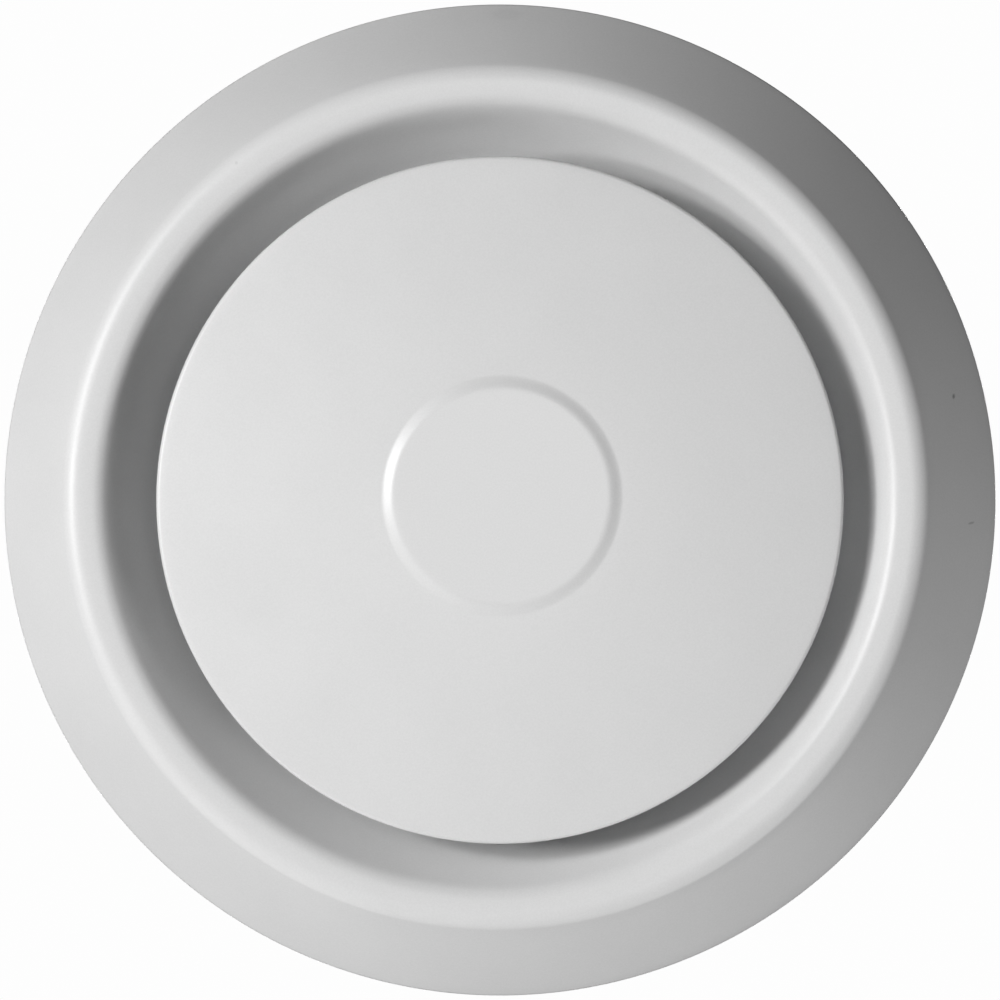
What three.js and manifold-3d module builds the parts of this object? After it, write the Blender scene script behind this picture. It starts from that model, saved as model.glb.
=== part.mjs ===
// Ceiling air diffuser: a round pressed-steel supply valve for a DN125 duct, in its mounting frame.
// Millimetres, +Z up. The valve is drawn as installed under a ceiling: the air enters from above
// through the frame's sleeve and leaves downward between the face ring and the front disc.
// The origin is the centre of the flat front of the disc's plateau, the lowest point of the object.
// The frame and valve groups have their own zero height at the ceiling plane.
import * as THREE from 'three';
import { mergeVertices } from 'three/addons/utils/BufferGeometryUtils.js';
import Module from 'manifold-3d';

// ---------------------------------------------------------------- shared dimensions
const SEGMENTS = 48;            // facets of the large turned and spun shells
const SHEET = 1.0;              // thickness of the pressed steel ring and disc
const GAP = 0.3;                // running gap left between touching pieces
const CEILING_Z = 26.7;         // height of the ceiling plane above the disc's front

// heights above the ceiling plane
const BRIDGE_Z = 8.0;           // underside of the bridge
const SPINDLE_TOP = 42.0;
const STOP_Z = 36.0;            // level of the spindle's groove and the end-stop ring

const COLLAR_IN_R = 56.2;       // bore of the face ring's collar
const COLLAR_OUT_R = COLLAR_IN_R + SHEET;
const BRIDGE_T = 1.5;
const BORE_R = 4.2;             // bore of every piece threaded over the spindle
const HEX_FLATS = 13;           // across flats, spindle head and nuts

// ---------------------------------------------------------------- finishes
const WHITE = { color: 0xe9e9e8, roughness: 0.42, metalness: 0.0 };
const GALVANISED = { color: 0xb3b7ba, roughness: 0.45, metalness: 0.9 };
const ZINC = { color: 0xc2c4c2, roughness: 0.35, metalness: 0.9 };
const SPRING_STEEL = { color: 0x8d9094, roughness: 0.32, metalness: 0.95 };
const BLACK_RUBBER = { color: 0x202122, roughness: 0.75, metalness: 0.0 };
const FOAM = { color: 0x3a3b3c, roughness: 0.95, metalness: 0.0 };

function piece(name, geometry, finish) {
  const mesh = new THREE.Mesh(geometry, new THREE.MeshStandardMaterial(finish));
  mesh.name = name;
  return mesh;
}

// ---------------------------------------------------------------- solid helpers
const rad = (degrees) => (degrees * Math.PI) / 180;

// merges vertices and turns the faces outward, so the mesh is one closed shell
function weld(source) {
  let geometry = source.clone();
  geometry.deleteAttribute('normal');
  geometry.deleteAttribute('uv');
  geometry = mergeVertices(geometry, 1e-4);
  const position = geometry.getAttribute('position');
  const index = geometry.getIndex().array;
  const kept = [];
  let volume = 0;
  const [a, b, c] = [new THREE.Vector3(), new THREE.Vector3(), new THREE.Vector3()];
  for (let i = 0; i < index.length; i += 3) {
    const [ia, ib, ic] = [index[i], index[i + 1], index[i + 2]];
    if (ia === ib || ib === ic || ia === ic) continue;
    kept.push(ia, ib, ic);
    a.fromBufferAttribute(position, ia);
    b.fromBufferAttribute(position, ib);
    c.fromBufferAttribute(position, ic);
    volume += a.dot(b.cross(c)) / 6;
  }
  if (volume < 0) {
    for (let i = 0; i < kept.length; i += 3) {
      [kept[i + 1], kept[i + 2]] = [kept[i + 2], kept[i + 1]];
    }
  }
  geometry.setIndex(kept);
  return geometry;
}

// turned piece: a profile of [radius, height] points spun about Z, closed unless it ends on the axis
function turned(profile, segments = SEGMENTS) {
  const points = profile.map(([r, z]) => new THREE.Vector2(r, z));
  if (points[0].x > 0 || points[points.length - 1].x > 0) points.push(points[0].clone());
  const geometry = new THREE.LatheGeometry(points, segments);
  geometry.rotateX(Math.PI / 2);
  return weld(geometry);
}

// round bar along Z
function bar(radius, z0, z1, segments, x = 0, y = 0) {
  const geometry = new THREE.CylinderGeometry(radius, radius, z1 - z0, segments);
  geometry.rotateX(Math.PI / 2);
  geometry.translate(x, y, (z0 + z1) / 2);
  return weld(geometry);
}

const hexBar = (z0, z1) => bar(HEX_FLATS / 2 / Math.cos(Math.PI / 6), z0, z1, 6);

// short round bar along X, centred on x, that cuts a rivet hole
function rivetHole(radius, x, y, z) {
  const LENGTH = 8;
  const geometry = new THREE.CylinderGeometry(radius, radius, LENGTH, 10);
  geometry.rotateZ(Math.PI / 2);
  geometry.translate(x, y, z);
  return weld(geometry);
}

// [x, z] outline given width along Y, centred on the XZ plane
function strip(outline, width) {
  const shape = new THREE.Shape(outline.map(([x, z]) => new THREE.Vector2(x, z)));
  const geometry = new THREE.ExtrudeGeometry(shape, { depth: width, bevelEnabled: false });
  geometry.rotateX(Math.PI / 2);   // shape Y becomes Z, depth runs along -Y
  geometry.translate(0, width / 2, 0);
  return weld(geometry);
}

// flat shape in the XY plane, its underside at z
function plate(shape, z, thickness, curveSegments) {
  const geometry = new THREE.ExtrudeGeometry(shape, {
    depth: thickness, bevelEnabled: false, curveSegments,
  });
  geometry.translate(0, 0, z);
  return weld(geometry);
}

const wasm = await Module();
wasm.setup();

function toSolid(geometry) {
  return new wasm.Manifold(new wasm.Mesh({
    numProp: 3,
    vertProperties: new Float32Array(geometry.getAttribute('position').array),
    triVerts: new Uint32Array(geometry.getIndex().array),
  }));
}

function toGeometry(solid) {
  const mesh = solid.getMesh();
  const geometry = new THREE.BufferGeometry();
  const positions = new Float32Array(mesh.vertProperties);
  geometry.setAttribute('position', new THREE.BufferAttribute(positions, 3));
  geometry.setIndex(Array.from(mesh.triVerts));
  return geometry;
}

function cut(geometry, tools) {
  return toGeometry(tools.reduce((solid, tool) => solid.subtract(toSolid(tool)), toSolid(geometry)));
}

// ---------------------------------------------------------------- sheet sections
// A polyline of [r, z] points walked by slopes and bends. Headings are in degrees,
// counter-clockwise from +r; each step starts at the heading where the last one ended.
class Section {
  constructor(points, heading) {
    this.points = points;
    this.heading = heading;
  }

  get end() {
    return this.points[this.points.length - 1];
  }

  // to radius r1 while the heading changes evenly
  slope(r1, heading, steps) {
    const r0 = this.end[0];
    let z = this.end[1];
    for (let i = 1; i <= steps; i++) {
      const middle = this.heading + ((heading - this.heading) * (i - 0.5)) / steps;
      z += ((r1 - r0) / steps) * Math.tan(rad(middle));
      this.points.push([r0 + ((r1 - r0) * i) / steps, z]);
    }
    this.heading = heading;
    return this;
  }

  // along an arc to the given heading
  bend(radius, heading, steps) {
    const [r0, z0] = this.end;
    const start = this.heading;
    const signed = Math.sign(heading - start) * radius;   // positive turns left
    const centreR = r0 - signed * Math.sin(rad(start));
    const centreZ = z0 + signed * Math.cos(rad(start));
    for (let i = 1; i <= steps; i++) {
      const angle = rad(start + ((heading - start) * i) / steps);
      this.points.push([centreR + signed * Math.sin(angle), centreZ - signed * Math.cos(angle)]);
    }
    this.heading = heading;
    return this;
  }

  riseTo(z) {
    this.points.push([this.end[0], z]);
    return this;
  }
}

function leftNormal([x0, y0], [x1, y1]) {
  const length = Math.hypot(x1 - x0, y1 - y0);
  return [-(y1 - y0) / length, (x1 - x0) / length];
}

// other face of a sheet: points moved along the mitred normal, left of the heading if positive
function offset(points, distance) {
  const last = points.length - 1;
  return points.map((point, i) => {
    const before = leftNormal(points[Math.max(i - 1, 0)], points[Math.max(i, 1)]);
    const after = leftNormal(points[Math.min(i, last - 1)], points[Math.min(i + 1, last)]);
    const mitre = [before[0] + after[0], before[1] + after[1]];
    const scale = (2 * distance) / (mitre[0] ** 2 + mitre[1] ** 2);
    return [point[0] + mitre[0] * scale, point[1] + mitre[1] * scale];
  });
}

// closed outline between the two faces of a sheet
const between = (face, back) => [...face, ...[...back].reverse()];

// height of a polyline where it first crosses radius r
function heightAt(points, r) {
  const i = points.findIndex(([r1], k) => k > 0 && (points[k - 1][0] - r) * (r1 - r) <= 0);
  const [r0, z0] = points[i - 1];
  const [r1, z1] = points[i];
  return z0 + ((z1 - z0) * (r - r0)) / (r1 - r0);
}

// ---------------------------------------------------------------- mounting frame and its fasteners
const FRAME_SHEET = 0.8;
const SLEEVE_R = 61.5;          // fits a 125 mm duct
const SLEEVE_IN_R = SLEEVE_R - FRAME_SHEET;
const SLEEVE_TOP = 45.0;
const FRAME_FLANGE_R = 86.0;
const FRAME_SCREW_CIRCLE_R = 76.0;
const FRAME_SCREW_HOLE_R = 2.3;
const SEAL_BAND_R = SLEEVE_R + 1.1;
const SEAL_LIP_R = 64.2;

const frameGroup = new THREE.Group();
frameGroup.position.z = CEILING_Z;

const screwPositions = [30, 150, 270].map((angle) => [
  FRAME_SCREW_CIRCLE_R * Math.cos(rad(angle)),
  FRAME_SCREW_CIRCLE_R * Math.sin(rad(angle)),
]);
const frameShell = turned([
  [SLEEVE_IN_R + 2.1, -FRAME_SHEET], [FRAME_FLANGE_R, -FRAME_SHEET], [FRAME_FLANGE_R, 0],
  [SLEEVE_R + 1.5, 0], [SLEEVE_R + 0.4, 0.45], [SLEEVE_R, 1.5], [SLEEVE_R, SLEEVE_TOP],
  [SLEEVE_IN_R, SLEEVE_TOP], [SLEEVE_IN_R, 1.3], [SLEEVE_IN_R + 0.6, -0.2],
]);
const screwHoles = screwPositions.map(([x, y]) => bar(FRAME_SCREW_HOLE_R, -3, 3, 12, x, y));
frameGroup.add(piece('mounting_frame', cut(frameShell, screwHoles), GALVANISED));

// band around the sleeve with one lip reaching outward
frameGroup.add(piece('duct_lip_seal', turned([
  [SLEEVE_R + GAP, 33], [SEAL_BAND_R, 33], [SEAL_BAND_R, 34.6], [SEAL_LIP_R, 36.6],
  [SEAL_LIP_R, 37.4], [SEAL_BAND_R, 36.4], [SEAL_BAND_R, 39.5], [SLEEVE_R + GAP, 39.5],
]), BLACK_RUBBER));

// pan-head screws, heads below the flange and points up
screwPositions.forEach(([x, y], i) => {
  const screw = piece(`frame_screw_${i + 1}`, turned([
    [0, -3.6], [2.2, -3.45], [3.6, -2.6], [4.0, -1.1], [1.9, -1.1], [1.9, 20], [0, 24],
  ], 12), ZINC);
  screw.position.set(x, y, 0);
  frameGroup.add(screw);
});

// ---------------------------------------------------------------- face ring and gasket
const RIM_R = 95.0;             // outer radius of the flange (diameter 190)
const RIM_LIP = 1.2;            // gap from the ceiling plane to the rim's free edge
const RIM_EDGE = 0.6;           // straight part of the rim's free edge
const RIM_BEND_R = 1.2;
// slopes are in degrees from the ceiling plane
const FLANGE_SLOPE_OUT = 53;    // at the rim
const FLANGE_SLOPE_IN = 51;     // at the crown
const CROWN_OUT_R = 83.1;       // where the flange meets the crown's outer bend
const CROWN_BEND_OUT_R = 4.2;
const CROWN_BAND_OUT = 3;       // inward slope of the crown's band at its outer side
const CROWN_BAND_IN = 8;        // and at its inner side
const CROWN_BAND_R = 76.8;      // inner end of the band
const CROWN_BEND_IN_R = 3.8;    // first bend into the throat
const CROWN_BEND_MID = 45;      // slope where the easier second bend takes over
const CROWN_EASE_R = 9.0;       // second bend into the throat
const THROAT_SLOPE = 53;
const THROAT_MID_R = 66.5;      // where the throat starts to ease towards the collar
const THROAT_EASE_R = 20.0;
const THROAT_SLOPE_IN = 40;     // slope at the collar's bend
const COLLAR_BEND_R = 6.0;
const COLLAR_TOP = 35.0;        // collar's free edge
const COLLAR_BEND_START_R = COLLAR_IN_R + COLLAR_BEND_R * (1 - Math.sin(rad(THROAT_SLOPE_IN)));
const GASKET_IN_R = 91.0;
const GASKET_OUT_R = 93.9;

// rivets; heights above the ceiling plane
const RIVET_Y = 5.0;            // offset of each bridge rivet from the bridge's centre line
const RIVET_Z = 17.0;
const RIVET_HOLE_R = 2.2;
const CLIP_ANGLES = [90, 210, 330];
const CLIP_RIVET_Z = 26.0;
const CLIP_HOLE_R = 1.9;

const valveGroup = new THREE.Group();
valveGroup.position.z = CEILING_Z;

// room side of the ring, from the rim's free edge over the crown and through the throat
// into the collar
const ringFace = new Section([[RIM_R, -RIM_LIP], [RIM_R, -RIM_LIP - RIM_EDGE]], 270)
  .bend(RIM_BEND_R, 180 + FLANGE_SLOPE_OUT, 2)
  .slope(CROWN_OUT_R, 180 + FLANGE_SLOPE_IN, 2)
  .bend(CROWN_BEND_OUT_R, 180 - CROWN_BAND_OUT, 3)
  .slope(CROWN_BAND_R, 180 - CROWN_BAND_IN, 1)
  .bend(CROWN_BEND_IN_R, 180 - CROWN_BEND_MID, 2)
  .bend(CROWN_EASE_R, 180 - THROAT_SLOPE, 1)
  .slope(THROAT_MID_R, 180 - THROAT_SLOPE, 1)
  .bend(THROAT_EASE_R, 180 - THROAT_SLOPE_IN, 1)
  .slope(COLLAR_BEND_START_R, 180 - THROAT_SLOPE_IN, 1)
  .bend(COLLAR_BEND_R, 90, 3)
  .riseTo(COLLAR_TOP)
  .points;
const ringBack = offset(ringFace, -SHEET);

// bridge rivets as [side along X, side along Y]
const rivetSeats = [[1, 1], [1, -1], [-1, 1], [-1, -1]];
const bridgeRivetHoles = (x) => rivetSeats.map(([sideX, sideY]) =>
  rivetHole(RIVET_HOLE_R, sideX * x, sideY * RIVET_Y, RIVET_Z));
const clipHoles = CLIP_ANGLES.map((angle) =>
  rivetHole(CLIP_HOLE_R, 56, 0, CLIP_RIVET_Z).rotateZ(rad(angle)));
const ringHoles = [...bridgeRivetHoles(56), ...clipHoles];
valveGroup.add(piece('face_ring', cut(turned(between(ringFace, ringBack)), ringHoles), WHITE));

// gasket between the flange's back and the ceiling plane
valveGroup.add(piece('face_gasket', turned([
  [GASKET_IN_R, heightAt(ringBack, GASKET_IN_R) + GAP],
  [GASKET_OUT_R, heightAt(ringBack, GASKET_OUT_R) + GAP],
  [GASKET_OUT_R, 0],
  [GASKET_IN_R, 0],
]), FOAM));

// ---------------------------------------------------------------- bridge, its rivets and bush
const BRIDGE_W = 18.0;
const BRIDGE_TAB = 13.0;        // height of the upturned ends
const BRIDGE_HALF = 55.0;       // half length over the tabs
const BRIDGE_BEND_R = 2.5;      // outside radius of the bends
const BUSH_R = 6.0;
const BUSH_FLANGE_R = 9.5;
const BUSH_BOTTOM = BRIDGE_Z - 1.8;
const BUSH_TOP = BRIDGE_Z + BRIDGE_T + 0.5;

// flat bar across the collar with upturned ends
function bridgeOutline() {
  const tabTop = BRIDGE_Z + BRIDGE_TAB;
  const arc = (radius, angles) => angles.map((angle) => [
    BRIDGE_HALF - BRIDGE_BEND_R + radius * Math.cos(rad(angle)),
    BRIDGE_Z + BRIDGE_BEND_R + radius * Math.sin(rad(angle)),
  ]);
  const right = [
    ...arc(BRIDGE_BEND_R, [-90, -60, -30, 0]),
    [BRIDGE_HALF, tabTop],
    [BRIDGE_HALF - BRIDGE_T, tabTop],
    ...arc(BRIDGE_BEND_R - BRIDGE_T, [0, -30, -60, -90]),
  ];
  return between(right, right.map(([x, z]) => [-x, z]));
}
const bridgeHoles = [
  ...bridgeRivetHoles(54),
  bar(BUSH_R + GAP, BRIDGE_Z - 3, BRIDGE_Z + 6, 24),
];
valveGroup.add(piece('bridge', cut(strip(bridgeOutline(), BRIDGE_W), bridgeHoles), GALVANISED));

// blind rivet along local Z, head at the low end; the other sizes are radii
function rivet({ shank, head, tail, grip }) {
  return turned([
    [0, -1.3], [head * 0.6, -1.1], [head, -0.35], [head, 0], [shank, 0], [shank, grip],
    [tail, grip + 0.2], [tail, grip + 1.6], [shank * 0.6, grip + 2.2], [0, grip + 2.2],
  ], 10);
}

// the head lies inside the tab, the set end outside the collar
rivetSeats.forEach(([sideX, sideY], i) => {
  const geometry = rivet({ shank: 1.9, head: 3.3, tail: 2.6, grip: 3.9 });
  const mesh = piece(`bridge_rivet_${i + 1}`, geometry, ZINC);
  mesh.position.set(sideX * (BRIDGE_HALF - BRIDGE_T - GAP), sideY * RIVET_Y, RIVET_Z);
  mesh.rotation.y = (sideX * Math.PI) / 2;
  valveGroup.add(mesh);
});

// bush in the bridge, flange below
valveGroup.add(piece('threaded_bush', turned([
  [BORE_R, BUSH_BOTTOM], [BUSH_FLANGE_R - 0.5, BUSH_BOTTOM], [BUSH_FLANGE_R, BUSH_BOTTOM + 0.5],
  [BUSH_FLANGE_R, BRIDGE_Z - GAP], [BUSH_R, BRIDGE_Z - GAP], [BUSH_R, BUSH_TOP], [BORE_R, BUSH_TOP],
], 24), ZINC));

// ---------------------------------------------------------------- retaining springs
const CLIP_W = 12.0;
const CLIP_T = 0.5;
// inner face of the leaf: [distance out from its seat on the collar, height above the ceiling]
const CLIP_LEAF = [[0, 29.5], [0, 22.5], [1.7, 15.5], [2.1, 13.4], [1.9, 11.6], [1.1, 8.0]];

// leaf clips riveted to the collar, bowed out to grip the sleeve
CLIP_ANGLES.forEach((angle, i) => {
  const clip = new THREE.Group();
  clip.rotation.z = rad(angle);
  const seatX = COLLAR_OUT_R + GAP;
  const leaf = CLIP_LEAF.map(([out, z]) => [seatX + out, z]);
  const body = strip(between(leaf, offset(leaf, CLIP_T)), CLIP_W);
  const hole = rivetHole(CLIP_HOLE_R, 58, 0, CLIP_RIVET_Z);
  clip.add(piece(`retaining_spring_${i + 1}`, cut(body, [hole]), SPRING_STEEL));

  const geometry = rivet({ shank: 1.6, head: 2.6, tail: 2.3, grip: 2.5 });
  const mesh = piece(`spring_rivet_${i + 1}`, geometry, ZINC);
  mesh.position.set(seatX + CLIP_T + GAP, 0, CLIP_RIVET_Z);
  mesh.rotation.y = -Math.PI / 2;
  clip.add(mesh);
  valveGroup.add(clip);
});

// ---------------------------------------------------------------- front disc and hub plate
const DISC_R = 65.4;
const PLATEAU_R = 20.5;         // flat front of the raised centre
const STEP_R = 22.8;            // foot of the step around it
const STEP_W = STEP_R - PLATEAU_R;
const STEP_H = 0.8;
const DISC_SLOPE_IN = 3.8;      // degrees, at the foot of the step
const DISC_SLOPE_OUT = 7.8;     // degrees, at the edge
const DISC_EDGE_BEND_R = 0.8;
const DISC_LIP_TOP = 7.3;       // height of the folded edge's free end
const HAT_TOP = 8.2;
const HAT_T = 1.2;
const HAT_R = 12.5;             // flat top of the hub plate

const discGroup = new THREE.Group();

const discFace = new Section([
  [0, 0],
  [PLATEAU_R, 0],
  [PLATEAU_R + STEP_W * 0.3, STEP_H * 0.16],
  [PLATEAU_R + STEP_W * 0.7, STEP_H * 0.78],
  [STEP_R, STEP_H],
], DISC_SLOPE_IN)
  .slope(DISC_R - DISC_EDGE_BEND_R * (1 - Math.sin(rad(DISC_SLOPE_OUT))), DISC_SLOPE_OUT, 2)
  .bend(DISC_EDGE_BEND_R, 90, 2)
  .riseTo(DISC_LIP_TOP)
  .points;
const discBack = offset(discFace, SHEET);
discGroup.add(piece('front_disc', turned(between(discFace, discBack)), WHITE));

// hat-section hub plate spot welded to the disc's back; it traps the spindle's head
const aboveDisc = (r, lift) => [r, heightAt(discBack, r) + lift];
const hatUnder = [
  aboveDisc(34, GAP), aboveDisc(25, GAP), aboveDisc(15, GAP + 0.9),
  [HAT_R, HAT_TOP - HAT_T], [BORE_R, HAT_TOP - HAT_T],
];
const hatOutline = between(hatUnder, offset(hatUnder, -HAT_T));
discGroup.add(piece('hub_plate', turned(hatOutline, 24), GALVANISED));

// ---------------------------------------------------------------- spindle and its fittings
const SHANK_R = 3.9;            // M8 drawn at its crest, less a running gap
const GROOVE_R = 3.2;
const HEAD_BOTTOM = SHEET + GAP;
const HEAD_TOP = HAT_TOP - HAT_T - GAP;
const STOP_LEVEL = CEILING_Z + STOP_Z;
const SPINDLE_END = CEILING_Z + SPINDLE_TOP;

// hexagon head under the hub plate, shank up through the bridge, groove for the end-stop ring
const shank = turned([
  [0, HEAD_BOTTOM + 1], [SHANK_R, HEAD_BOTTOM + 1], [SHANK_R, STOP_LEVEL - 0.2],
  [GROOVE_R, STOP_LEVEL - 0.2], [GROOVE_R, STOP_LEVEL + 1.4], [SHANK_R, STOP_LEVEL + 1.4],
  [SHANK_R, SPINDLE_END - 1], [3.1, SPINDLE_END], [0, SPINDLE_END],
], 16);
const spindle = toSolid(hexBar(HEAD_BOTTOM, HEAD_TOP)).add(toSolid(shank));
discGroup.add(piece('spindle', toGeometry(spindle), ZINC));

// hexagon nut, chamfered at both ends
function nut(z, height) {
  const CHAMFER_H = 0.8;
  const flatR = HEX_FLATS / 2;
  const cornerR = flatR * 1.13;
  const top = z + height;
  const chamfer = turned([
    [0, z], [flatR, z], [cornerR, z + CHAMFER_H],
    [cornerR, top - CHAMFER_H], [flatR, top], [0, top],
  ], 24);
  const bore = bar(BORE_R, z - 1, top + 1, 16);
  return toGeometry(toSolid(hexBar(z, top)).intersect(toSolid(chamfer)).subtract(toSolid(bore)));
}

// thin nut that clamps the hub plate on the spindle's head
const JAM_NUT_Z = HAT_TOP + GAP;
const JAM_NUT_H = 4;
discGroup.add(piece('jam_nut', nut(JAM_NUT_Z, JAM_NUT_H), ZINC));

// open ring in the spindle's groove, its opening towards +X
function endStopRing() {
  const halfOpening = rad(24);
  const shape = new THREE.Shape();
  shape.absarc(0, 0, 7.6, halfOpening, 2 * Math.PI - halfOpening, false);
  shape.absarc(0, 0, 3.5, 2 * Math.PI - halfOpening, halfOpening, true);
  return plate(shape, STOP_LEVEL + 0.1, 1.0, 18);
}
discGroup.add(piece('end_stop_ring', endStopRing(), SPRING_STEEL));

// ---------------------------------------------------------------- thrust washer and preload spring
const WASHER_Z = JAM_NUT_Z + JAM_NUT_H + GAP;
const WASHER_TOP = WASHER_Z + 1.2;
const WASHER_R = 9;
const WIRE_R = 0.6;
const COIL_R = 7.0;             // to the centre of the wire
const COIL_TURNS = 4;
const COIL_CLEARANCE = GAP + WIRE_R + 0.1;   // from each seat to the wire's centre
const COIL_Z0 = WASHER_TOP + COIL_CLEARANCE;
const COIL_Z1 = CEILING_Z + BUSH_BOTTOM - COIL_CLEARANCE;

const seatGroup = new THREE.Group();

// washer that the preload spring sits on
seatGroup.add(piece('thrust_washer', turned([
  [BORE_R, WASHER_Z], [WASHER_R, WASHER_Z], [WASHER_R, WASHER_TOP], [BORE_R, WASHER_TOP],
], 24), ZINC));

class Helix extends THREE.Curve {
  getPoint(t, target = new THREE.Vector3()) {
    const angle = 2 * Math.PI * COIL_TURNS * t;
    const z = COIL_Z0 + (COIL_Z1 - COIL_Z0) * t;
    return target.set(COIL_R * Math.cos(angle), COIL_R * Math.sin(angle), z);
  }
}

// coil between the thrust washer and the bush
function preloadSpring() {
  const wire = new THREE.Shape();
  wire.absarc(0, 0, WIRE_R, 0, Math.PI * 2, false);
  return weld(new THREE.ExtrudeGeometry(wire, {
    steps: 56, extrudePath: new Helix(), curveSegments: 3, bevelEnabled: false,
  }));
}
seatGroup.add(piece('preload_spring', preloadSpring(), SPRING_STEEL));

// ---------------------------------------------------------------- lock washer and nut
const LOCK_WASHER_Z = CEILING_Z + BUSH_TOP + GAP;
const LOCK_WASHER_T = 1.0;
const LOCK_NUT_Z = LOCK_WASHER_Z + LOCK_WASHER_T + GAP;

const lockGroup = new THREE.Group();

// toothed washer above the bush
function lockWasher() {
  const TEETH = 12;
  const outline = Array.from({ length: TEETH * 2 }, (_, i) => {
    const angle = (i * Math.PI) / TEETH;
    const radius = i % 2 ? 7.3 : 8.6;
    return new THREE.Vector2(radius * Math.cos(angle), radius * Math.sin(angle));
  });
  const shape = new THREE.Shape(outline);
  const hole = new THREE.Path();
  hole.absarc(0, 0, 4.4, 0, Math.PI * 2, true);
  shape.holes.push(hole);
  return plate(shape, LOCK_WASHER_Z, LOCK_WASHER_T, 8);
}
lockGroup.add(piece('lock_washer', lockWasher(), ZINC));
lockGroup.add(piece('lock_nut', nut(LOCK_NUT_Z, 6.5), ZINC));

// ---------------------------------------------------------------- assembly
const diffuser = new THREE.Group();
diffuser.add(frameGroup, valveGroup, discGroup, seatGroup, lockGroup);

export default diffuser;
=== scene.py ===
"""A round white ceiling air valve: a pressed face ring, an adjustable front disc and their hardware.

The valve hangs as under a ceiling. Z is its axis and points up into the duct, and the face looks
down towards -Z. Height 0 is the front of the disc's flat plateau. Sizes are in millimetres and are
turned into metres when a mesh is made. Unless noted, radii are from the axis, and a height is above
the ceiling plane, which lies CEIL above the plateau.
"""
import math
import bpy
import bmesh
import numpy as np
from mathutils import Matrix, Vector, noise


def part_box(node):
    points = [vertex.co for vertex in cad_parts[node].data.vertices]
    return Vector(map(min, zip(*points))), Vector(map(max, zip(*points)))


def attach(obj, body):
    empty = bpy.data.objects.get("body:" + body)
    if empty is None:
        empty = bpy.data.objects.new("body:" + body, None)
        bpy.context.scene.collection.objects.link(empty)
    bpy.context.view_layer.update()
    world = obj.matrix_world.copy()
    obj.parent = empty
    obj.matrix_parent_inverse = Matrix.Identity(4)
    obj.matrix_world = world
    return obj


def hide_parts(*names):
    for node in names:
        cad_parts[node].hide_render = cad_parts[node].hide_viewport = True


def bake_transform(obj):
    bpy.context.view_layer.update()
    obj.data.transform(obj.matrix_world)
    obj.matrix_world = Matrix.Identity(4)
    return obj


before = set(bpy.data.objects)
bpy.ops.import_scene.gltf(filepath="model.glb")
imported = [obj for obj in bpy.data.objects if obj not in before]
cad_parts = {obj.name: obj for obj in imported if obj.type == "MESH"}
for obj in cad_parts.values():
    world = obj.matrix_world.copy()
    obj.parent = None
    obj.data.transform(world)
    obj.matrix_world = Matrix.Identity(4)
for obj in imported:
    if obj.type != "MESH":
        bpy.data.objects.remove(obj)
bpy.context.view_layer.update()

MM = 0.001
rad = math.radians

# ---------------------------------------------------------------- driving dimensions
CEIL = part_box("mounting_frame")[0].z / MM + 0.8
RIM_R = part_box("face_ring")[1].x / MM
DISC_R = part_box("front_disc")[1].x / MM
DISC_LIP_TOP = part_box("front_disc")[1].z / MM          # above the plateau
COLLAR_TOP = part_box("face_ring")[1].z / MM - CEIL
SLEEVE_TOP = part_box("mounting_frame")[1].z / MM - CEIL
BRIDGE_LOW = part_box("bridge")[0].z / MM - CEIL

SHEET = 1.0            # thickness of the ring and the disc
GAP = 0.3              # clearance left between neighbouring parts
RIM_TOP = -1.2         # upper end of the ring's upright rim edge
RIM_EDGE = 0.6         # height of that edge
COLLAR_IN = 56.2       # radius inside the ring's collar
COLLAR_OUT = COLLAR_IN + SHEET
FINE_RINGS = 288       # segments round the large turned pieces


# ---------------------------------------------------------------- meshes
def new_object(name, verts, faces, smooth=True):
    mesh = bpy.data.meshes.new(name)
    mesh.from_pydata([tuple(v) for v in verts], [], [tuple(f) for f in faces])
    mesh.validate()
    bm = bmesh.new()
    bm.from_mesh(mesh)
    bmesh.ops.recalc_face_normals(bm, faces=bm.faces)
    bm.to_mesh(mesh)
    bm.free()
    mesh.polygons.foreach_set("use_smooth", [smooth] * len(mesh.polygons))
    mesh.update()
    obj = bpy.data.objects.new(name, mesh)
    bpy.context.scene.collection.objects.link(obj)
    return obj


def grid_faces(rows, around, closed=False):
    """Quads between rows of points; the last row joins the first if closed, else both ends are capped."""
    faces = []
    for i in range(rows if closed else rows - 1):
        j = (i + 1) % rows
        for k in range(around):
            after = (k + 1) % around
            faces.append((i * around + k, i * around + after, j * around + after, j * around + k))
    if not closed:
        faces.append(list(range(around))[::-1])
        faces.append([(rows - 1) * around + k for k in range(around)])
    return faces


def without_repeats(points, tolerance=1e-4):
    out = [tuple(points[0])]
    for p in points[1:]:
        if math.hypot(p[0] - out[-1][0], p[1] - out[-1][1]) > tolerance:
            out.append(tuple(p))
    if math.hypot(out[0][0] - out[-1][0], out[0][1] - out[-1][1]) < tolerance:
        out.pop()
    return out


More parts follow.
